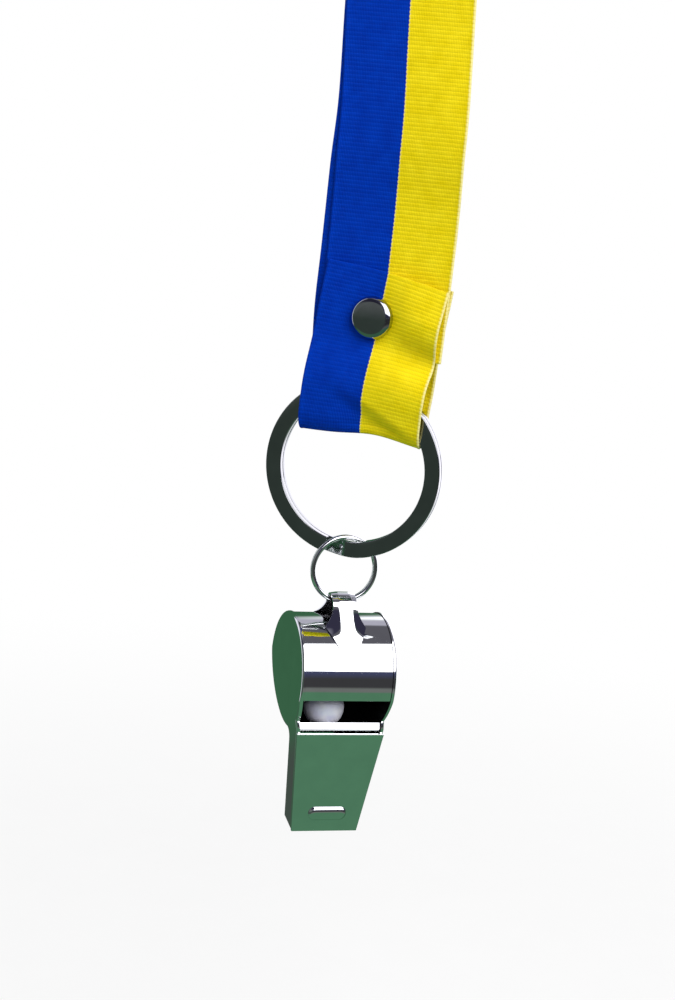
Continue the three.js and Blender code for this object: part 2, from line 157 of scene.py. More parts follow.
# Rivet
RIVET_X = 1.4
CAP_RADIUS = 4.1
CAP_SEAT = 1.5
CAP_RISE = 2.1
CAP_FLAT = 3.05
CAP_CROWN = 0.2
CAP_SIDE = 0.9
CAP_BOW = 0.14
CAP_EDGE = ((0, 0.5), (0.06, 0.25), (0.3, 0), (0.7, 0), (0.8, 0.5))
CAP_HOLLOW_INSET = 0.3
CAP_SHOULDER_WALL = 0.8
CAP_TOP_WALL = 0.6

# Split ring
RING_Z = -129.4
RING_INNER = 14.5
WIRE_RADIAL = 3.0
RING_HALF_DEPTH = 1.475
TURN_GAP = 0.05
WIRE_CORNER = 0.16
KINK_ANGLE = 11.0
WIRE_END_ANGLE = 14.5
WIRE_STEP = 2.0
WIRE_EDGE = 0.12

# Link ring
LINK_MID = 6.325
LINK_WIRE = 1.05
LINK_JOINT_GAP = 0.25
LINK_STEPS = 120
LINK_SIDES = 16

# Whistle, with heights and depths counted from the barrel's axis
WHISTLE_TILT = 12.9
WHISTLE_WIDTH = 19.1
SHEET = 0.5
SEAM = 0.03
BARREL_RADIUS = 11.3
CHEEK_THICK = 0.7
CHEEK_RIM = 0.2
CHEEK_ROUND = 0.5
CHEEK_NOTCH_ANGLE = 122.0
CHEEK_FRONT_GAP = 0.02
TAPER_START = 1.0
MOUTH_WIDTH = 13.45
MOUTH_REACH = 30.2
MOUTH_FRONT = 11.2
MOUTH_DEPTH = 5.7
WALL_FILLET = 2.0
LIP_ANGLE = 94.0
PLATE_TOP = 8.2
AIR_SLOT = 0.6
ROLL_RADIUS = 0.8
ROLL_AHEAD = 0.7
BEAD_LEAN = 38.0
BEAD_REACH = 0.4
BEAD_HALF_FACE = 0.72
WINDWAY_GAUGE = 0.3
WINDWAY_FOOT_GAP = 0.15
WINDWAY_INSET = 1.0
BAR_LENGTH = 7.9
BAR_WIDTH = 3.0
BAR_RISE = 0.7
BAR_FROM_END = 4.1
BAR_SUNK = 0.1
BAR_FULLNESS = 0.7
LUG_BACK_ANGLE = 8.0
LUG_THICK = 0.6
LUG_NECK = 4.8
LUG_RIDGE = 2.4
LUG_FOOT = 8.4
LUG_TIP = 3.4
LUG_FOOT_ANGLE = 52.0
LUG_FRONT_BEND = 3.4
LUG_BACK_MEETS = 72.0
LUG_TIP_FADE = 4.0
LUG_TIP_THIN = 0.05
LUG_EDGE_THINNING = 0.8
LUG_DRAPE = 1.3
LUG_COLUMNS = 25
EYE_STANDOFF = 3.1
EYE_RADIUS = 1.134
ARC_STEP = 2.5
SHARP_ANGLE = 38.0
FACES_BARREL = 0.1
FACES_CHEEK = 0.5
FACES_EYE = 0.15

# Pea
PEA_SIZE = 0.985
PEA_DENT = 0.02
PEA_WAVES = ((5, 2), (4, 1), (6, 0))

# Camera, with the photograph's frame in pixels
FRAME_SIZE = (675, 1000)
RING_PIXEL = (353.8, 467.6)
CAMERA_AZIMUTH = 16.7
CAMERA_ELEVATION = 10.5
CAMERA_ROLL = 5.4
CAMERA_DISTANCE = 420.0
CAMERA_LENS = 78.3
CAMERA_SENSOR = 36.0

# Stage
FLOOR_Z = -262.0
FLOOR_HALF = 6000.0
FLOOR_NEAR = 120.0
FLOOR_FAR = 420.0
FLOOR_GLOW = 0.8
ROOM_RADIUS = 3000.0
LAMPS_AIM_Z = -160.0
WORLD_COLOR = (0.93, 0.96, 1, 1)
WORLD_STRENGTH = 0.3
WHITE = (1, 1, 1, 1)

# Colours of the room that the chrome mirrors, painted on a glowing sphere that only glossy rays see:
# painted reflections
NEAR_GREEN = (0.08, 0.205, 0.115)
FAR_GREEN = (0.042, 0.125, 0.062)
BROWN = (0.155, 0.168, 0.157)
BLACK = (0.044, 0.044, 0.047)
NAVY = (0.055, 0.062, 0.125)
PALE = (0.46, 0.45, 0.53)
SLATE = (0.11, 0.108, 0.125)
DUSK = (0.064, 0.086, 0.072)
HAZE = (0.16, 0.175, 0.17)
NIGHT = (0.035, 0.033, 0.06)

# Bands of the painted reflections of the room, as pairs of an elevation in degrees and a colour
FRONT_BANDS = (
    (-90, NEAR_GREEN), (-33, NEAR_GREEN), (-30, BROWN), (-25, BROWN), (-21, BLACK), (-6, BLACK),
    (4, NAVY), (9, NAVY), (24, SLATE), (75, SLATE), (86, PALE),
)
FRONT_LEFT_BANDS = (
    (-90, NEAR_GREEN), (-38, NEAR_GREEN), (-30, DUSK), (-9, DUSK), (5, HAZE), (24, HAZE),
    (34, NIGHT), (62, NIGHT), (84, PALE),
)
BEHIND_BANDS = (
    (-90, NEAR_GREEN), (-45, FAR_GREEN), (36, FAR_GREEN), (42, PALE), (54, PALE), (58, SLATE), (90, SLATE),
)

# Where the bands lie and the painted highlights, painted reflections and painted shade laid over them: the
# middle, reach and soft edge in degrees, sideways and then upright, and a colour
FRONT_SIDE = (30, 72, 20)
FRONT_LEFT_SIDE = (-31, 36, 10)
PAINTED_WINDOW_HIGHLIGHT = ((10, 20, 6), (8, 20, 16), (2.0, 1.95, 2.1))
PAINTED_PAPER_REFLECTION = ((-98, 13, 6), (8, 30, 8), (0.9, 0.9, 1.0))
LOW_SHADE = ((-134, 14, 8), (-31, 7.3, 1.6), (0.057, 0.075, 0.062))
PAINTED_DOORWAY_DARK = ((130, 16, 6), (20, 22, 6), NIGHT)
# The chrome's softbox highlight is painted here; the key lamp itself is hidden from glossy rays
PAINTED_SOFTBOX_HIGHLIGHT = ((62, 38, 3), (34.5, 25, 2), (3.0, 3.0, 3.1))


def joint(name):
    return next(j for j in frame["joints"] if j["name"] == name)


def make_object(name, points, faces, material, sharp=SHARP_ANGLE):
    mesh = bpy.data.meshes.new(name)
    mesh.from_pydata([Vector(p) * MM for p in points], [], [list(f) for f in faces])
    work = bmesh.new()
    work.from_mesh(mesh)
    bmesh.ops.remove_doubles(work, verts=work.verts, dist=SAME_PLACE * MM)
    bmesh.ops.recalc_face_normals(work, faces=work.faces)
    work.to_mesh(mesh)
    work.free()
    mesh.polygons.foreach_set("use_smooth", [True] * len(mesh.polygons))
    mesh.set_sharp_from_angle(angle=math.radians(sharp))
    mesh.materials.append(material)
    made = bpy.data.objects.new(name, mesh)
    bpy.context.collection.objects.link(made)
    return made


def bevel(obj, width, segments=3, angle=30.0):
    edge = obj.modifiers.new("edge", "BEVEL")
    edge.width = width * MM
    edge.segments = segments
    edge.limit_method = "ANGLE"
    edge.angle_limit = math.radians(angle)
    edge.harden_normals = True
    return obj


def dress(obj, body, slot, *nodes):
    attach(obj, body)
    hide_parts(*nodes)
    return obj


# Lines in the side view (Y, Z)
def arc(y, z, radius, start, stop, step=ARC_STEP):
    count = max(2, math.ceil(abs(stop - start) / step))
    angles = np.radians(np.linspace(start, stop, count + 1))
    return [(y + radius * math.cos(a), z + radius * math.sin(a)) for a in angles]


def ease(start, stop, count=24):
    """An S-shaped line between two places, upright at both ends."""
    line = []
    for share in np.linspace(0, 1, count + 1):
        sideways = (1 - math.cos(math.pi * share)) / 2
        line.append((start[0] + (stop[0] - start[0]) * sideways, start[1] + (stop[1] - start[1]) * share))
    return line


def straight(start, stop, count):
    return [tuple(p) for p in np.linspace(start, stop, count + 1)]


def cut_corners(line):
    """Rounds a line by replacing each corner with the nearest quarter points of its two sides."""
    rounded = [line[0]]
    for a, b in zip(line, line[1:]):
        for share in (0.75, 0.25):
            rounded.append(np.array(a) * share + np.array(b) * (1 - share))
    return rounded


def resample(line, step):
    line = np.array(line)
    lengths = np.concatenate([[0], np.cumsum(np.hypot(*np.diff(line, axis=0).T))])
    count = round(lengths[-1] / step)
    at = np.linspace(0, lengths[-1], count + 1)
    return np.stack([np.interp(at, lengths, line[:, k]) for k in (0, 1)], axis=1), at


def side_normals(line):
    along = np.gradient(np.array(line), axis=0)
    along /= np.linalg.norm(along, axis=1)[:, None]
    return np.stack([-along[:, 1], along[:, 0]], axis=1)


def smooth_table(table, at):
    """A soft curve through a few (place, value) pairs."""
    places, values = np.array(table).T
    fine = np.linspace(places[0], places[-1], DRIFT_STEPS)
    curve = np.interp(fine, places, values)
    kernel = np.hanning(2 * DRIFT_BLUR + 1)
    padded = np.pad(curve, DRIFT_BLUR, mode="edge")
    return np.interp(at, fine, np.convolve(padded, kernel / kernel.sum(), mode="valid"))


def rise(value, middle, soft):
    """A soft step from 0 to 1 about the middle."""
    return 1 / (1 + np.exp((middle - value) / soft))


def smooth(share):
    return share * share * (3 - 2 * share)


def closed_grid(front, back):
    """Points and faces of a closed sheet from two grids of points, rows by columns."""
    rows, columns = front.shape[:2]
    points = np.concatenate([front.reshape(-1, 3), back.reshape(-1, 3)])
    other = rows * columns
    faces = []
    for i in range(rows - 1):
        for j in range(columns - 1):
            a = i * columns + j
            faces.append((a, a + 1, a + columns + 1, a + columns))
            faces.append((other + a, other + a + columns, other + a + columns + 1, other + a + 1))
        for j in (0, columns - 1):
            a = i * columns + j
            faces.append((a, a + columns, other + a + columns, other + a))
    for i in (0, rows - 1):
        for j in range(columns - 1):
            a = i * columns + j
            faces.append((a, a + 1, other + a + 1, other + a))
    return points, faces


# Materials
def nodes_of(name):
    material = bpy.data.materials.new(name)
    material.use_nodes = True
    tree = material.node_tree
    return material, tree.nodes, tree.links, tree.nodes["Principled BSDF"]


def ramp(nodes, links, source, *stops):
    node = nodes.new("ShaderNodeValToRGB")
    elements = node.color_ramp.elements
    while len(elements) < len(stops):
        elements.new(0.5)
    for element, (place, color) in zip(elements, stops):
        element.position = place
        element.color = (*color, 1)
    links.new(source, node.inputs["Fac"])
    return node.outputs["Color"]


def grey(value):
    return (value, value, value)


def noise(nodes, links, scale, detail=3.0, vector=None):
    node = nodes.new("ShaderNodeTexNoise")
    node.inputs["Scale"].default_value = scale
    node.inputs["Detail"].default_value = detail
    if vector is None:
        vector = nodes.new("ShaderNodeTexCoord").outputs["Object"]
    links.new(vector, node.inputs["Vector"])
    return node.outputs["Fac"]


def math_node(nodes, links, operation, *values):
    node = nodes.new("ShaderNodeMath")
    node.operation = operation
    for socket, value in zip(node.inputs, values):
        if isinstance(value, (int, float)):
            socket.default_value = value
        else:
            links.new(value, socket)
    return node.outputs["Value"]


def bump(nodes, links, shader, height, strength, distance):
    node = nodes.new("ShaderNodeBump")
    node.inputs["Strength"].default_value = strength
    node.inputs["Distance"].default_value = distance * MM
    links.new(height, node.inputs["Height"])
    links.new(node.outputs["Normal"], shader.inputs["Normal"])


def plated_metal(name, light, dark, roughness):
    """Polished plating with faint handling smudges and a slight unevenness."""
    material, nodes, links, shader = nodes_of(name)
    shader.inputs["Metallic"].default_value = 1
    smudge = noise(nodes, links, scale=260, detail=4)
    links.new(ramp(nodes, links, smudge, (0.3, dark), (0.7, light)), shader.inputs["Base Color"])
    worn = noise(nodes, links, scale=700, detail=2)
    low, high = roughness
    links.new(ramp(nodes, links, worn, (0.35, grey(low)), (0.75, grey(high))), shader.inputs["Roughness"])
    uneven = noise(nodes, links, scale=180, detail=1)
    bump(nodes, links, shader, uneven, strength=0.02, distance=0.12)
    return material


def ribbon_cloth():
    """Blue and yellow halves with cross ribs, pale selvedges, a stepped colour change and painted shade in
    the valleys between the ribs.
    """
    material, nodes, links, shader = nodes_of("ribbon_weave")
    uv = nodes.new("ShaderNodeUVMap")
    uv.uv_map = "weave"
    split = nodes.new("ShaderNodeSeparateXYZ")
    links.new(uv.outputs["UV"], split.inputs["Vector"])
    across, along = split.outputs["X"], split.outputs["Y"]
    shade = noise(nodes, links, scale=0.35, vector=uv.outputs["UV"])
    blue = ramp(nodes, links, shade, (0.3, (0.0, 0.03, 0.38)), (0.7, (0.0, 0.04, 0.46)))
    yellow = ramp(nodes, links, shade, (0.3, (0.84, 0.65, 0.004)), (0.7, (0.93, 0.74, 0.012)))
    rib = math_node(nodes, links, "SINE", math_node(nodes, links, "MULTIPLY", along, math.pi / RIB_PITCH))
    crest = math_node(nodes, links, "ABSOLUTE", rib)
    from_middle = math_node(nodes, links, "SUBTRACT", crest, 0.5)
    step = math_node(nodes, links, "MULTIPLY", from_middle, COLOUR_STEP)
    line = math_node(nodes, links, "ADD", across, step)
    right = math_node(nodes, links, "GREATER_THAN", line, RIBBON_WIDTH / 2)
    halves = nodes.new("ShaderNodeMix")
    halves.data_type = "RGBA"
    links.new(right, halves.inputs["Factor"])
    links.new(blue, halves.inputs["A"])
    links.new(yellow, halves.inputs["B"])
    seam = ramp(
        nodes, links, math_node(nodes, links, "DIVIDE", line, RIBBON_WIDTH),
        (0.499, grey(0)), (0.502, grey(0.5)), (0.511, grey(0)), (0.982, grey(0)), (0.995, grey(0.7)),
    )
    pale = nodes.new("ShaderNodeMix")
    pale.data_type = "RGBA"
    links.new(math_node(nodes, links, "MULTIPLY", seam, right), pale.inputs["Factor"])
    links.new(halves.outputs["Result"], pale.inputs["A"])
    pale.inputs["B"].default_value = (0.86, 0.80, 0.42, 1)
    # Darker in the valleys between the ribs: painted shade
    valley = nodes.new("ShaderNodeMix")
    valley.data_type = "RGBA"
    valley.blend_type = "MULTIPLY"
    valley.inputs["Factor"].default_value = 1
    links.new(pale.outputs["Result"], valley.inputs["A"])
    links.new(ramp(nodes, links, crest, (0.0, grey(0.8)), (0.5, grey(1))), valley.inputs["B"])
    links.new(valley.outputs["Result"], shader.inputs["Base Color"])
    shader.inputs["Roughness"].default_value = 0.62
    shader.inputs["Specular IOR Level"].default_value = 0.04
    thread = math_node(nodes, links, "MULTIPLY", across, 2 * math.pi / THREAD_PITCH)
    threads = math_node(nodes, links, "SINE", thread)
    fuzz = noise(nodes, links, scale=4, detail=2, vector=uv.outputs["UV"])
    height = math_node(nodes, links, "ADD", threads, math_node(nodes, links, "MULTIPLY", fuzz, 2))
    bump(nodes, links, shader, height, strength=0.35, distance=0.05)
    return material


def pea_material():
    """Pale plastic with a faint mottle and a slightly rough skin."""
    material, nodes, links, shader = nodes_of("pea_surface")
    mottle = noise(nodes, links, scale=420, detail=4)
    links.new(
        ramp(nodes, links, mottle, (0.3, (0.76, 0.77, 0.97)), (0.7, (0.92, 0.92, 1.0))),
        shader.inputs["Base Color"],
    )
    shader.inputs["Roughness"].default_value = 0.5
    bump(nodes, links, shader, noise(nodes, links, scale=650), strength=0.4, distance=0.15)
    return material


chrome = plated_metal("bright_chrome", (0.90, 0.91, 0.92), (0.84, 0.85, 0.865), (0.025, 0.07))
nickel = plated_metal("black_nickel", (0.40, 0.41, 0.42), (0.34, 0.35, 0.36), (0.05, 0.12))
# Near-black metal for the faces inside the whistle and the lug's eye: painted shade
painted_shade_metal = plated_metal("painted_shade_inside", (0.09, 0.085, 0.09), (0.05, 0.05, 0.055), (0.4, 0.6))
gunmetal = plated_metal("gunmetal", (0.46, 0.47, 0.49), (0.38, 0.39, 0.41), (0.06, 0.14))
ribbon = ribbon_cloth()


# Ribbon pieces
def ribbon_piece(name, line, width, centre, lift, sink):
    """A ribbed ribbon along a side-view line. centre gives its sideways place along the line, lift how far
    a point stands out along the line's normal, and sink how far it hangs lower."""
    path, at = resample(line, RIB_PITCH / RIB_ROWS)
    normals = side_normals(path)
    edge = np.array(EDGE_COLUMNS)
    inset = SELVEDGE + BODY_INSET
    across = np.concatenate([edge, np.linspace(inset, width - inset, BODY_COLUMNS), width - edge[::-1]])
    from_edge = np.minimum(across, width - across)
    bead = SELVEDGE_BEAD * np.sin(np.pi * np.clip(from_edge / SELVEDGE, 0, 1))
    rounding = np.where(from_edge < EDGE_ROUND, np.clip(from_edge / EDGE_ROUND, EDGE_THINNEST, 1), 1)
    ribs = RIB_HEIGHT * (np.abs(np.sin(np.pi * at / RIB_PITCH)) ** RIB_FULLNESS - RIB_LEVEL)
    fade = EDGE_RIB_SHARE + (1 - EDGE_RIB_SHARE) * np.clip(from_edge / SELVEDGE, 0, 1)
    half = (RIBBON_THICK / 2 + bead[None, :] + ribs[:, None] * fade[None, :]) * rounding[None, :]
    x = across[None, :] - width / 2 + centre(path)[:, None]
    y = np.repeat(path[:, :1], len(across), axis=1)
    z = np.repeat(path[:, 1:], len(across), axis=1)
    out = lift(x, y, z)
    z = z - sink(x, z)
    grids = []
    for side in (1, -1):
        reach = out + side * half
        grids.append(np.stack([x, y + normals[:, :1] * reach, z + normals[:, 1:] * reach], axis=2))
    points, faces = closed_grid(*grids)
    made = make_object(name, points, faces, ribbon, sharp=RIBBON_SHARP)
    weave = made.data.uv_layers.new(name="weave")
    corner = np.empty(len(made.data.loops), dtype=np.int32)
    made.data.loops.foreach_get("vertex_index", corner)
    stretch = RIBBON_WIDTH / width
    u, v = np.meshgrid(across * stretch, at)
    flat = np.stack([u.ravel(), v.ravel()], axis=1)
    weave.data.foreach_set("uv", np.concatenate([flat, flat])[corner].ravel().astype(np.float32))
    return made, at[-1]


def strap():
    leg = (LAYER_GAP + RIBBON_THICK) / 2
    crown = CROWN_RADIUS + RIBBON_THICK / 2
    end_z = RIVET_Z - RIBBON_END_DROP
    open_z = -CROWN_RADIUS - CROWN_OPENING
    line = [
        (-leg, end_z),
        *ease((-leg, open_z), (-crown, -CROWN_RADIUS)),
        *arc(0, -CROWN_RADIUS, crown, 180, 0)[1:-1],
        *ease((crown, -CROWN_RADIUS), (leg, open_z)),
        (leg, end_z),
    ]

    def crease(x, y, z):
        """How far both layers stand back at the crease, with a faint ripple that fades up and down."""
        away = (z - CREASE_Z) / np.where(z > CREASE_Z, CREASE_ABOVE, CREASE_BELOW)
        wave = np.sin(x / RIPPLE_ACROSS + z / RIPPLE_ALONG)
        ripple = RIPPLE_HEIGHT * wave * np.exp(-(((z - RIPPLE_Z) / RIPPLE_REACH) ** 2))
        free = rise(-z, -CREASE_TOP_Z, CREASE_TOP_SOFT) * rise(z, CREASE_FOOT_Z, CREASE_FOOT_SOFT)
        side = np.where(y < 0, -1, 1)
        return -side * (CREASE_DEPTH * np.exp(-away ** 2) + ripple) * free

    def drift(path):
        y, z = path.T
        return smooth_table(STRAP_DRIFT, z) - np.where(y > 0, smooth_table(REAR_LAG, z), 0)

    made, length = ribbon_piece("ribbon_strap", line, RIBBON_WIDTH, drift, crease, lambda x, z: 0 * x)
    return made


def tab():
    stack_half = LAYER_GAP / 2 + 2 * RIBBON_THICK + LAYER_GAP
    clamp = stack_half - RIBBON_THICK / 2
    top_z = RIVET_Z + TAB_RISE
    hold_z = RIVET_Z - TAB_HOLD
    flare_z = RING_Z + RING_INNER + WIRE_RADIAL - FLARE_DROP
    fold_z = FOLD_BOTTOM + RIBBON_THICK / 2 + FOLD_HEIGHT
    fold = [(y * FOLD_DEPTH, fold_z + z * FOLD_HEIGHT) for y, z in arc(0, 0, 1, 180, 360)]
    line = [
        (-clamp, top_z),
        *ease((-clamp, hold_z), (-FOLD_DEPTH, flare_z)),
        *fold,
        *ease((FOLD_DEPTH, flare_z), (clamp, hold_z)),
        (clamp, top_z),
    ]

    def puff(x, y, z):
        """How the front layer stands off the strap: held at the rivet, puckered to the right of it and
        hollow in the fold."""
        from_rivet = np.hypot(x - RIVET_X, z - RIVET_Z)
        free = 1 - np.exp(-((from_rivet / TAB_PUFF_REACH) ** 2))
        to_right = np.clip((x - PUCKER_FROM_X) / PUCKER_SPREAD, 0, 1)
        valley = z - (RIVET_Z - VALLEY_DROP - VALLEY_SLOPE * x)
        pucker = np.exp(-((valley / np.where(valley > 0, PUCKER_ABOVE, PUCKER_BELOW)) ** 2))
        stand = TAB_STANDOFF * (STANDOFF_BELOW + (1 - STANDOFF_BELOW) * rise(valley, 0, STANDOFF_SOFT))
        lean = 1 - TOP_LEAN * np.clip((z - RIVET_Z - TOP_LEAN_START) / TOP_LEAN_LENGTH, 0, 1)
        swell = (TAB_PUFF + (stand - PUCKER_DEPTH * pucker) * to_right) * lean
        above_fold = rise(z, PUFF_FOOT_Z, PUFF_FOOT_SOFT)
        start = np.clip((HOLLOW_Z - HOLLOW_SLANT * (x - HOLLOW_X) - z) / HOLLOW_LENGTH, 0, 1)
        end = np.clip((HOLLOW_END_Z - z) / HOLLOW_END_LENGTH, 0, 1)
        depth = HOLLOW_DEPTH * smooth(start) * (1 - HOLLOW_END_FILL * end)
        hollow = depth * np.exp(-(((x - HOLLOW_X) / HOLLOW_HALF_WIDTH) ** 2))
        return hollow - np.where(y < 0, swell, REAR_PUFF) * free * above_fold

    def droop(x, z):
        """How much lower a point hangs: the tab's right side more, and more so higher up."""
        high = np.clip((z - SLANT_FOOT_Z) / SLANT_LENGTH, 0, 1)
        share = np.clip((x - DROOP_FROM_X) / DROOP_SPREAD, 0, DROOP_LIMIT) ** 2
        return TAB_SLANT * x * high + share * (DROOP_AT_FOOT + DROOP_HIGHER_UP * high)

    made, length = ribbon_piece(
        "ribbon_tab", line, TAB_WIDTH, lambda path: smooth_table(TAB_DRIFT, path[:, 1]), puff, droop,
    )
    return made


for piece, node in ((strap(), "lanyard_ribbon"), (tab(), "ring_tab")):
    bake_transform(piece)
    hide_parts(node)


# Round pieces
def lathe(name, profile, material, turns=72):
    """A closed body turned about Y from (radius, y) pairs that start and end on the axis."""
    points = [(0, profile[0][1], 0), (0, profile[-1][1], 0)]
    rings = profile[1:-1]
    for radius, y in rings:
        for k in range(turns):
            a = 2 * math.pi * k / turns
            points.append((radius * math.cos(a), y, radius * math.sin(a)))
    faces = []
    for k in range(turns):
        n = (k + 1) % turns
        faces.append((0, 2 + k, 2 + n))
        faces.append((1, 2 + (len(rings) - 1) * turns + n, 2 + (len(rings) - 1) * turns + k))
        for i in range(len(rings) - 1):
            a, b = 2 + i * turns, 2 + (i + 1) * turns
            faces.append((a + k, b + k, b + n, a + n))
    return make_object(name, points, faces, material)


def rivet_cap(name, side):
    """A flat-topped cap with a bevelled shoulder, hollow underneath."""
    shoulder_z = CAP_RISE - CAP_CROWN
    profile = [(0, CAP_RISE)]
    profile += [(r, CAP_RISE - CAP_CROWN * (r / CAP_FLAT) ** 2) for r in np.linspace(0.4, CAP_FLAT, 8)]
    for share in np.linspace(0.06, 1, 12):
        bow = CAP_BOW * math.sin(math.pi * share)
        radius = CAP_FLAT + (CAP_RADIUS - CAP_FLAT) * share
        profile.append((radius + bow, shoulder_z + (CAP_SIDE - shoulder_z) * share + bow))
    profile += [(CAP_RADIUS - inset, height) for inset, height in CAP_EDGE]
    profile += [(CAP_FLAT - CAP_HOLLOW_INSET, CAP_RISE - CAP_SHOULDER_WALL), (0, CAP_RISE - CAP_TOP_WALL)]
    cap = lathe(name, [(r, CAP_SEAT + y) for r, y in profile], gunmetal)
    cap.data.transform(Matrix.Rotation(math.pi if side < 0 else 0, 4, "Z"))
    cap.data.transform(Matrix.Translation((RIVET_X * MM, 0, RIVET_Z * MM)))
    return cap


dress(rivet_cap("rivet_cap_front", -1), "lanyard", "gunmetal", "rivet_front_cap")
dress(rivet_cap("rivet_cap_back", 1), "lanyard", "gunmetal", "rivet_back_cap")
for name in ("rivet_socket", "rivet_post"):
    frame["nodes"][name].data.materials.clear()
    frame["nodes"][name].data.materials.append(gunmetal)


def sweep(name, sections, material):
    """A closed tube through sections of equal count."""
    count = len(sections[0])
    points = [p for section in sections for p in section]
    faces = [tuple(range(count)), tuple(range(len(points) - count, len(points)))]
    for i in range(len(sections) - 1):
        for j in range(count):
            a, b = i * count + j, i * count + (j + 1) % count
            faces.append((a, b, b + count, a + count))
    return make_object(name, points, faces, material)


def rounded_rectangle(half_a, half_b, corner, steps=5):
    outline = []
    for sign_a, sign_b, start in ((1, 1, 0), (-1, 1, 90), (-1, -1, 180), (1, -1, 270)):
        for a in np.radians(np.linspace(start, start + 90, steps + 1)):
            outline.append((
                sign_a * (half_a - corner) + corner * math.cos(a),
                sign_b * (half_b - corner) + corner * math.sin(a),
            ))
    return outline


def split_ring():
    axial = RING_HALF_DEPTH - TURN_GAP / 2
    turn_y = (axial + TURN_GAP) / 2
    middle = RING_INNER + WIRE_RADIAL / 2
    outline = rounded_rectangle(WIRE_RADIAL / 2, axial / 2, WIRE_CORNER)
    last = 720 - WIRE_END_ANGLE
    sections = []
    for angle in np.linspace(WIRE_END_ANGLE, last, round((last - WIRE_END_ANGLE) / WIRE_STEP) + 1):
        share = np.clip((angle - 360 + KINK_ANGLE) / (2 * KINK_ANGLE), 0, 1)
        y = turn_y * (2 * smooth(share) - 1)
        out = (-math.sin(math.radians(angle)), -math.cos(math.radians(angle)))
        sections.append([
            (out[0] * (middle + a), y + b, RING_Z + out[1] * (middle + a)) for a, b in outline
        ])
    return sweep("split_ring_wire", sections, nickel)


dress(bevel(split_ring(), WIRE_EDGE), "split_ring", "black_nickel", "split_ring")


# Whistle frame: X along the eye's wire, Z up its body, leant by its tilt
eye = Vector(joint("whistle_swing")["pos_m"]) / MM
wire_axis = Vector(joint("whistle_swing")["axis"]).normalized()
turned = Matrix((wire_axis, Vector((0, 0, 1)).cross(wire_axis), Vector((0, 0, 1)))).transposed()
tilted = turned @ Matrix.Rotation(math.radians(WHISTLE_TILT), 3, "X")
lug_lean = math.radians(LUG_BACK_ANGLE)
eye_height = BARREL_RADIUS + EYE_STANDOFF
hub = eye + tilted @ Vector((0, -eye_height * math.sin(lug_lean), -eye_height * math.cos(lug_lean)))


def in_whistle(points):
    return [hub + tilted @ Vector(p) for p in points]


def link_ring():
    centre = eye + Vector((0, 0, LINK_MID))
    gap = LINK_JOINT_GAP / LINK_MID
    sections = []
    for angle in np.linspace(gap / 2, 2 * math.pi - gap / 2, LINK_STEPS + 1):
        out = turned @ Vector((-math.sin(angle), 0, -math.cos(angle)))
        side = turned @ Vector((0, 1, 0))
        sections.append([
            centre + out * (LINK_MID + LINK_WIRE / 2 * math.cos(a)) + side * (LINK_WIRE / 2 * math.sin(a))
            for a in np.linspace(0, 2 * math.pi, LINK_SIDES, endpoint=False)
        ])
    return sweep("link_ring_wire", sections, chrome)


dress(link_ring(), "link_ring", "bright_chrome", "link_ring")

# Whistle outlines, worked out as in the solids
cheek_radius = BARREL_RADIUS + CHEEK_RIM
wrap_mid = BARREL_RADIUS - SHEET / 2
back_wall = -(MOUTH_FRONT - MOUTH_DEPTH + SHEET / 2)
fillet_y = back_wall + WALL_FILLET
fillet_z = -math.sqrt((wrap_mid + WALL_FILLET) ** 2 - fillet_y ** 2)
fillet_angle = math.degrees(math.atan2(-fillet_z, -fillet_y))
roll_y = -(MOUTH_FRONT - SHEET - AIR_SLOT - ROLL_RADIUS)
roll_z = -(PLATE_TOP - ROLL_AHEAD)


def half_width(z):
    share = np.clip((-z - TAPER_START) / (MOUTH_REACH - TAPER_START), 0, 1)
    return (WHISTLE_WIDTH + (MOUTH_WIDTH - WHISTLE_WIDTH) * share) / 2


def bent_sheet(name, line, thickness, width_at, columns=14):
    """A sheet of one thickness along a side-view line, as wide as width_at says at each height."""
    line = np.array(line)
    normals = side_normals(line)
    spread = np.linspace(-1, 1, columns + 1)
    grids = []
    for side in (0.5, -0.5):
        y = line[:, 0] + normals[:, 0] * thickness * side
        z = line[:, 1] + normals[:, 1] * thickness * side
        x = width_at(z)[:, None] * spread[None, :]
        grids.append(np.stack([x, *(np.repeat(v[:, None], columns + 1, axis=1) for v in (y, z))], axis=2))
    points, faces = closed_grid(*grids)
    return make_object(name, in_whistle(points.tolist()), faces, chrome)


def painted_shade_inside(obj, is_inside):
    """Gives the faces inside the whistle a near-black dull metal: painted shade inside the whistle.
    is_inside takes a face's place and normal.
    """
    obj.data.materials.append(painted_shade_metal)
    back = tilted.transposed()
    for face in obj.data.polygons:
        if is_inside(back @ (face.center / MM - hub), back @ face.normal):
            face.material_index = 1
    return obj


def barrel():
    line = [
        *arc(0, 0, wrap_mid, 90 + LIP_ANGLE, fillet_angle - 180),
        *arc(fillet_y, fillet_z, WALL_FILLET, fillet_angle, 180, step=6)[1:],
        *straight((back_wall, fillet_z - 1), (back_wall, -MOUTH_REACH), 12),
    ]
    inside = CHEEK_THICK + SEAM
    strip = bent_sheet("barrel_strip", line, SHEET, lambda z: half_width(z) - inside)

    def faces_in(place, normal):
        if place.z < -wrap_mid:
            return normal.y < -FACES_BARREL
        return normal.y * place.y + normal.z * place.z < -FACES_BARREL

    return bevel(painted_shade_inside(strip, faces_in), width=0.08)


def front_plate():
    y = SHEET / 2 - MOUTH_FRONT
    line = straight((y, -PLATE_TOP), (y, -MOUTH_REACH), 24)
    return bevel(bent_sheet("mouthpiece_front", line, SHEET, half_width), width=0.1)


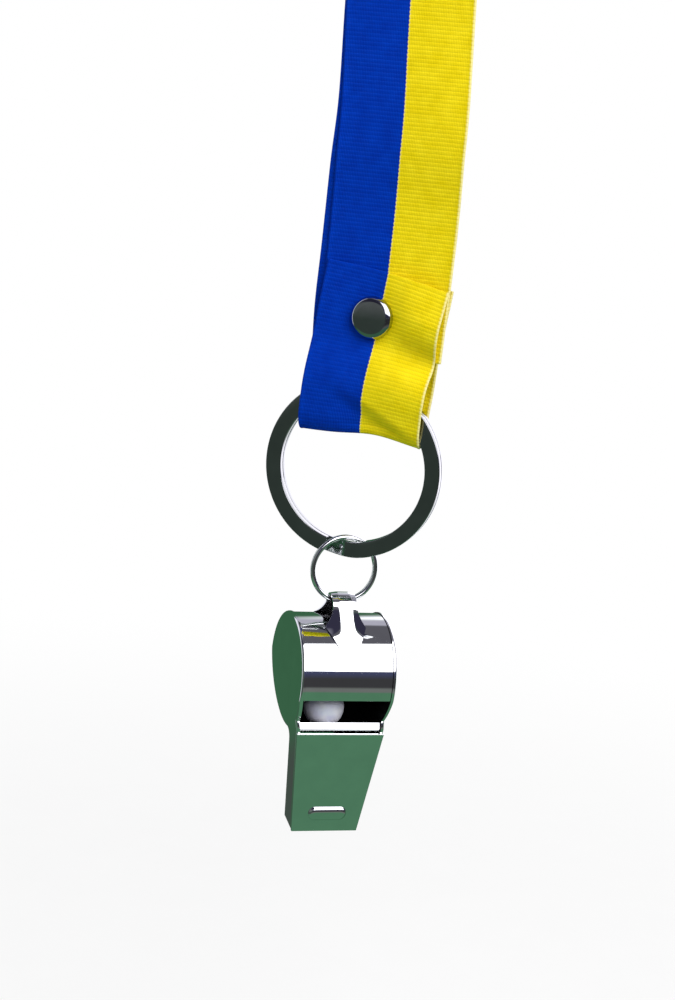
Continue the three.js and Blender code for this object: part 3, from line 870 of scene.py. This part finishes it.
def tooth_bar():
    """The raised bar, a long low dome with a flattened top."""
    length, width = (BAR_LENGTH - BAR_WIDTH) / 2, BAR_WIDTH / 2
    points, faces = [], []
    rings, around = 10, 64
    for i in range(rings + 1):
        t = i / rings
        reach = width * math.cos(t * math.pi / 2) ** BAR_FULLNESS
        y = -MOUTH_FRONT - BAR_RISE * math.sin(t * math.pi / 2)
        for k in range(around):
            a = 2 * math.pi * k / around
            x = math.copysign(length, math.cos(a)) + reach * math.cos(a)
            points.append((x, y, BAR_FROM_END - MOUTH_REACH + reach * math.sin(a)))
    points += [(x, BAR_SUNK - MOUTH_FRONT, z) for x, _, z in points[:around]]
    base = (rings + 1) * around
    for k in range(around):
        n = (k + 1) % around
        for i in range(rings):
            a = i * around
            faces.append((a + k, a + n, a + around + n, a + around + k))
        faces.append((k, n, base + n, base + k))
    faces.append(tuple(range(rings * around, base)))
    faces.append(tuple(range(base, base + around)))
    return make_object("tooth_bar", in_whistle(points), faces, chrome)


def windway():
    """The windway's floor, whose end at the window is turned over into a flat-faced bead."""
    foot = np.array((back_wall - SHEET - WINDWAY_FOOT_GAP, WINDWAY_INSET - MOUTH_REACH))
    centre = np.array((roll_y, roll_z))
    face = np.array((-math.cos(math.radians(BEAD_LEAN)), math.sin(math.radians(BEAD_LEAN))))
    slope = np.array((face[1], -face[0]))
    low = centre + BEAD_REACH * face - BEAD_HALF_FACE * slope
    high = centre + BEAD_REACH * face + BEAD_HALF_FACE * slope
    behind = arc(roll_y, roll_z, ROLL_RADIUS - WINDWAY_GAUGE, 60, -90, step=15)
    line = cut_corners(cut_corners([*straight(foot, low, 16), *straight(low, high, 6)[1:], *behind]))
    inside = CHEEK_THICK + SEAM
    floor = bent_sheet("windway_roll", line, WINDWAY_GAUGE, lambda z: half_width(z) - inside)
    return bevel(floor, width=0.05)


def cheek(name, side):
    """A side plate with a rounded rim, bent where the mouthpiece begins to taper."""
    front = -(MOUTH_FRONT - SHEET - CHEEK_FRONT_GAP)
    back = back_wall + SHEET / 2 + CHEEK_RIM
    outline = [
        (front, -MOUTH_REACH),
        (front, roll_z),
        *arc(0, 0, cheek_radius, 90 + CHEEK_NOTCH_ANGLE, fillet_angle - 180, step=3),
        *arc(fillet_y, fillet_z, WALL_FILLET - SHEET / 2 - CHEEK_RIM, fillet_angle, 180, step=10)[1:],
        (back, -MOUTH_REACH),
    ]
    work = bmesh.new()
    work.faces.new([work.verts.new((0, y, z)) for y, z in outline])
    everything = [*work.verts, *work.edges, *work.faces]
    bmesh.ops.bisect_plane(work, geom=everything, plane_co=(0, 0, -TAPER_START), plane_no=(0, 0, 1))
    made = bmesh.ops.extrude_face_region(work, geom=list(work.faces))["geom"]
    raised = [v for v in made if isinstance(v, bmesh.types.BMVert)]
    bmesh.ops.translate(work, verts=raised, vec=(side * CHEEK_THICK, 0, 0))
    outer = set(raised)
    for v in work.verts:
        v.co.x += side * (half_width(v.co.z) - CHEEK_THICK)
    rim = [
        e for e in work.edges
        if set(e.verts) <= outer and sum(set(f.verts) <= outer for f in e.link_faces) == 1
    ]
    bmesh.ops.bevel(
        work, geom=rim, offset=CHEEK_ROUND, segments=6, profile=0.5, affect="EDGES", clamp_overlap=True,
    )
    bmesh.ops.recalc_face_normals(work, faces=work.faces)
    mesh = bpy.data.meshes.new(name)
    work.to_mesh(mesh)
    work.free()
    mesh.transform(Matrix.Translation(hub * MM) @ tilted.to_4x4() @ Matrix.Scale(MM, 4))
    mesh.polygons.foreach_set("use_smooth", [True] * len(mesh.polygons))
    mesh.set_sharp_from_angle(angle=math.radians(SHARP_ANGLE))
    mesh.materials.append(chrome)
    plate = bpy.data.objects.new(name, mesh)
    bpy.context.collection.objects.link(plate)
    painted_shade_inside(plate, lambda place, normal: normal.x * side < -FACES_CHEEK)
    weighted = plate.modifiers.new("faces", "WEIGHTED_NORMAL")
    weighted.keep_sharp = True
    return plate


def lug():
    """The strap bent over the link's wire, whose two legs run straight down to the barrel."""
    foot_mid = BARREL_RADIUS + LUG_THICK / 2
    loop_radius = EYE_RADIUS + LUG_THICK / 2
    crown_z = eye_height + loop_radius

    def half_line(bend, meets):
        """Half of the side-view line: round the bend, down to where it meets the barrel and along it."""
        footing = arc(0, 0, foot_mid, meets, 90 - LUG_FOOT_ANGLE, step=1)
        to_foot = Vector(footing[0]) - Vector((0, crown_z - bend))
        leaves = math.degrees(math.atan2(to_foot.y, to_foot.x) + math.acos(bend / to_foot.length))
        loop = arc(0, crown_z - bend, bend, 90, leaves, step=5)
        return [*loop, *straight(loop[-1], footing[0], 20)[1:-1], *footing]

    front_meets = math.degrees(math.asin((foot_mid - LUG_FRONT_BEND) / (crown_z - LUG_FRONT_BEND)))
    front = [(-y, z) for y, z in half_line(LUG_FRONT_BEND, front_meets)]
    line = np.array([*reversed(front[1:]), *half_line(loop_radius, LUG_BACK_MEETS)])
    normals = side_normals(line)
    neck, ridge, foot, tip = LUG_NECK / 2, LUG_RIDGE / 2, LUG_FOOT / 2, LUG_TIP / 2
    height = line[:, 1:]
    tip_z = height.min()
    spread = 1 - np.clip((height - BARREL_RADIUS) / EYE_STANDOFF, 0, 1)
    below = np.clip((BARREL_RADIUS - height) / (BARREL_RADIUS - tip_z), 0, 1)
    x = (neck + (foot - neck) * spread ** 2 + (tip - foot) * below) * np.linspace(-1, 1, LUG_COLUMNS)
    room = np.clip(np.hypot(*line.T) - foot_mid, 0, None)[:, None] * spread
    edge = np.clip((np.abs(x) - ridge) / (foot - ridge), 0, 1)
    full = np.clip((height - tip_z) / LUG_TIP_FADE, 0, 1)
    gauge = LUG_THICK * (LUG_TIP_THIN + (1 - LUG_TIP_THIN) * full * (2 - full))
    outer = gauge * (1 - LUG_EDGE_THINNING * edge)
    grids = []
    for face in (outer, 0):
        reach = face - LUG_THICK / 2 - room * edge ** LUG_DRAPE
        y, z = line[:, :1] + normals[:, :1] * reach, height + normals[:, 1:] * reach
        grids.append(np.stack([x, y, z], axis=2))
    points, faces = closed_grid(*grids)
    leant = [Matrix.Rotation(-lug_lean, 3, "X") @ Vector(p) for p in points.tolist()]
    made = make_object("lug_strap", in_whistle(leant), faces, chrome)
    eye_place = Vector((0, eye_height * math.sin(lug_lean), eye_height * math.cos(lug_lean)))
    painted_shade_inside(made, lambda place, normal: normal.dot(eye_place - place) > FACES_EYE)
    return bevel(made, width=0.1)


dress(barrel(), "whistle", "bright_chrome", "barrel_wrap")
dress(front_plate(), "whistle", "bright_chrome", "mouthpiece_plate")
bar = tooth_bar()
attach(bar, "whistle")
dress(windway(), "whistle", "bright_chrome", "windway_floor")
dress(cheek("cheek_left", -1), "whistle", "bright_chrome", "left_cheek")
dress(cheek("cheek_right", 1), "whistle", "bright_chrome", "right_cheek")
dress(lug(), "whistle", "bright_chrome", "ring_lug")


def pea_ball():
    """A ball with shallow dents, just inside its solid."""
    low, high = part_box("pea")
    centre = (low + high) / 2 / MM
    radius = (high.z - low.z) / 2 / MM
    work = bmesh.new()
    bmesh.ops.create_icosphere(work, subdivisions=5, radius=1)
    points = []
    for v in work.verts:
        dent = PEA_DENT
        for along, (waves, shift) in zip(v.co, PEA_WAVES):
            dent *= math.sin(waves * along + shift)
        points.append(centre + v.co * radius * (PEA_SIZE + dent))
    faces = [[v.index for v in f.verts] for f in work.faces]
    work.free()
    return make_object("pea_ball", points, faces, pea_material())


dress(pea_ball(), "pea", "pea", "pea")


# Camera
def set_camera():
    azimuth, elevation = math.radians(CAMERA_AZIMUTH), math.radians(CAMERA_ELEVATION)
    back = Vector((math.sin(azimuth), -math.cos(azimuth), 0)) * math.cos(elevation)
    back.z = math.sin(elevation)
    roll = Matrix.Rotation(math.radians(CAMERA_ROLL), 3, "Z")
    turn = (-back).to_track_quat("-Z", "Y").to_matrix() @ roll
    pixels_per_mm = FRAME_SIZE[1] * CAMERA_LENS / (CAMERA_SENSOR * CAMERA_DISTANCE)
    right = (RING_PIXEL[0] - FRAME_SIZE[0] / 2) / pixels_per_mm
    up = (FRAME_SIZE[1] / 2 - RING_PIXEL[1]) / pixels_per_mm
    place = Vector((0, 0, RING_Z)) + back * CAMERA_DISTANCE - turn @ Vector((right, up, 0))
    data = bpy.data.cameras.new("camera")
    data.lens = CAMERA_LENS
    data.sensor_width = CAMERA_SENSOR
    data.clip_start, data.clip_end = 0.01, 20
    camera = bpy.data.objects.new("camera", data)
    camera.matrix_world = Matrix.Translation(place * MM) @ turn.to_4x4()
    bpy.context.collection.objects.link(camera)
    bpy.context.scene.camera = camera


# Stage
def seen_rays(nodes, links):
    """1 for the rays that see the background itself: camera, glossy and transmission."""
    path = nodes.new("ShaderNodeLightPath")
    seen = math_node(nodes, links, "MAXIMUM", path.outputs["Is Camera Ray"], path.outputs["Is Glossy Ray"])
    return math_node(nodes, links, "MAXIMUM", seen, path.outputs["Is Transmission Ray"])


def set_world():
    world = bpy.data.worlds.new("studio")
    bpy.context.scene.world = world
    world.use_nodes = True
    nodes, links = world.node_tree.nodes, world.node_tree.links
    fill = nodes["Background"]
    fill.inputs["Color"].default_value = WORLD_COLOR
    fill.inputs["Strength"].default_value = WORLD_STRENGTH
    white = nodes.new("ShaderNodeBackground")
    white.inputs["Color"].default_value = WHITE
    white.inputs["Strength"].default_value = 1
    mix = nodes.new("ShaderNodeMixShader")
    links.new(seen_rays(nodes, links), mix.inputs["Fac"])
    links.new(fill.outputs["Background"], mix.inputs[1])
    links.new(white.outputs["Background"], mix.inputs[2])
    links.new(mix.outputs["Shader"], nodes["World Output"].inputs["Surface"])


def set_floor():
    """White paper that takes a faint shadow near the whistle and fades to plain white further off."""
    material, nodes, links, shader = nodes_of("floor_paper")
    grain = noise(nodes, links, scale=60)
    links.new(ramp(nodes, links, grain, (0.3, grey(0.86)), (0.7, grey(0.9))), shader.inputs["Base Color"])
    shader.inputs["Roughness"].default_value = 0.9
    glow = nodes.new("ShaderNodeEmission")
    glow.inputs["Color"].default_value = WHITE
    away = nodes.new("ShaderNodeVectorMath")
    away.operation = "LENGTH"
    links.new(nodes.new("ShaderNodeTexCoord").outputs["Object"], away.inputs[0])
    share = nodes.new("ShaderNodeMapRange")
    share.interpolation_type = "SMOOTHSTEP"
    share.inputs["From Min"].default_value = FLOOR_NEAR * MM
    share.inputs["From Max"].default_value = FLOOR_FAR * MM
    share.inputs["To Min"].default_value = FLOOR_GLOW
    share.inputs["To Max"].default_value = 1
    links.new(away.outputs["Value"], share.inputs["Value"])
    mix = nodes.new("ShaderNodeMixShader")
    white_share = math_node(nodes, links, "MULTIPLY", seen_rays(nodes, links), share.outputs["Result"])
    links.new(white_share, mix.inputs["Fac"])
    links.new(shader.outputs["BSDF"], mix.inputs[1])
    links.new(glow.outputs["Emission"], mix.inputs[2])
    links.new(mix.outputs["Shader"], nodes["Material Output"].inputs["Surface"])
    half = FLOOR_HALF
    corners = [(-half, -half, 0), (half, -half, 0), (half, half, 0), (-half, half, 0)]
    floor = make_object("floor", corners, [(0, 1, 2, 3)], material)
    floor.location = (0, 0, FLOOR_Z * MM)
    floor.visible_glossy = False
    floor.visible_diffuse = False


def painted_reflection_material():
    """Painted reflections of what stood round the whistle: green paper below, behind and to the left, a
    dark room in front, with painted highlights and painted shade over them.
    """
    material, nodes, links, shader = nodes_of("painted_room_reflections")
    unit = nodes.new("ShaderNodeVectorMath")
    unit.operation = "NORMALIZE"
    links.new(nodes.new("ShaderNodeNewGeometry").outputs["Position"], unit.inputs[0])
    split = nodes.new("ShaderNodeSeparateXYZ")
    links.new(unit.outputs["Vector"], split.inputs["Vector"])
    sideways, inward, upward = split.outputs["X"], split.outputs["Y"], split.outputs["Z"]
    height = math_node(nodes, links, "ARCSINE", upward)
    level = math_node(nodes, links, "ADD", math_node(nodes, links, "DIVIDE", height, math.pi), 0.5)
    outward = math_node(nodes, links, "MULTIPLY", inward, -1)
    azimuth = math_node(nodes, links, "ARCTAN2", sideways, outward)
    from_back = math_node(nodes, links, "ARCTAN2", sideways, inward)

    def bands(table):
        return ramp(nodes, links, level, *((degrees / 180 + 0.5, color) for degrees, color in table))

    def near(value, middle, reach, soft):
        """1 where an angle is within reach of the middle, falling to 0 over the soft edge, in degrees."""
        off = math_node(nodes, links, "SUBTRACT", value, math.radians(middle))
        share = nodes.new("ShaderNodeMapRange")
        share.interpolation_type = "SMOOTHSTEP"
        share.inputs["From Min"].default_value = math.radians(reach + soft)
        share.inputs["From Max"].default_value = math.radians(reach)
        links.new(math_node(nodes, links, "ABSOLUTE", off), share.inputs["Value"])
        return share.outputs["Result"]

    def over(under, color, share):
        mix = nodes.new("ShaderNodeMix")
        mix.data_type = "RGBA"
        links.new(share, mix.inputs["Factor"])
        links.new(under, mix.inputs["A"])
        if isinstance(color, tuple):
            mix.inputs["B"].default_value = (*color, 1)
        else:
            links.new(color, mix.inputs["B"])
        return mix.outputs["Result"]

    color = over(bands(BEHIND_BANDS), bands(FRONT_BANDS), near(azimuth, *FRONT_SIDE))
    color = over(color, bands(FRONT_LEFT_BANDS), near(azimuth, *FRONT_LEFT_SIDE))
    # Painted highlights, painted reflections and painted shade laid over the bands
    patches = [(from_back, PAINTED_WINDOW_HIGHLIGHT), *((azimuth, p) for p in (PAINTED_PAPER_REFLECTION, LOW_SHADE, PAINTED_DOORWAY_DARK, PAINTED_SOFTBOX_HIGHLIGHT))]
    for angle, (beside, upright, patch) in patches:
        share = math_node(nodes, links, "MULTIPLY", near(angle, *beside), near(height, *upright))
        color = over(color, patch, share)
    glow = nodes.new("ShaderNodeEmission")
    links.new(color, glow.inputs["Color"])
    links.new(glow.outputs["Emission"], nodes["Material Output"].inputs["Surface"])
    nodes.remove(shader)
    return material


def set_room():
    work = bmesh.new()
    bmesh.ops.create_uvsphere(work, u_segments=48, v_segments=24, radius=ROOM_RADIUS)
    points = [v.co.copy() for v in work.verts]
    faces = [[v.index for v in f.verts] for f in work.faces]
    work.free()
    room = make_object("reflected_room", points, faces, painted_reflection_material())
    # The room glows but lights nothing: only glossy rays see it, so it shows only as painted reflections
    for ray in ("camera", "diffuse", "transmission", "volume_scatter", "shadow"):
        setattr(room, f"visible_{ray}", False)


def soft_light(name, direction, distance, size, power, color):
    """A square lamp, sized and placed in metres, that no chrome mirrors."""
    data = bpy.data.lights.new(name, "AREA")
    data.shape = "SQUARE"
    data.size = size
    data.energy = power
    data.color = color
    lamp = bpy.data.objects.new(name, data)
    toward = Vector(direction).normalized()
    lamp.location = Vector((0, 0, LAMPS_AIM_Z * MM)) + toward * distance
    lamp.rotation_euler = toward.to_track_quat("Z", "Y").to_euler()
    lamp.visible_glossy = False
    bpy.context.collection.objects.link(lamp)


set_camera()
set_world()
set_floor()
set_room()
soft_light(
    "key", direction=(0.586, -0.47, 0.66), distance=0.9, size=0.8, power=10.0, color=(1, 0.98, 0.96),
)
soft_light(
    "fill", direction=(-0.7, -0.7, 0.35), distance=1.4, size=1.0, power=3.5, color=(0.95, 0.98, 1),
)
soft_light(
    "bounce", direction=(0.05, -0.3, -0.95), distance=0.6, size=0.5, power=3.0, color=(0.15, 1, 0.35),
)
bpy.context.scene.view_settings.view_transform = "Standard"
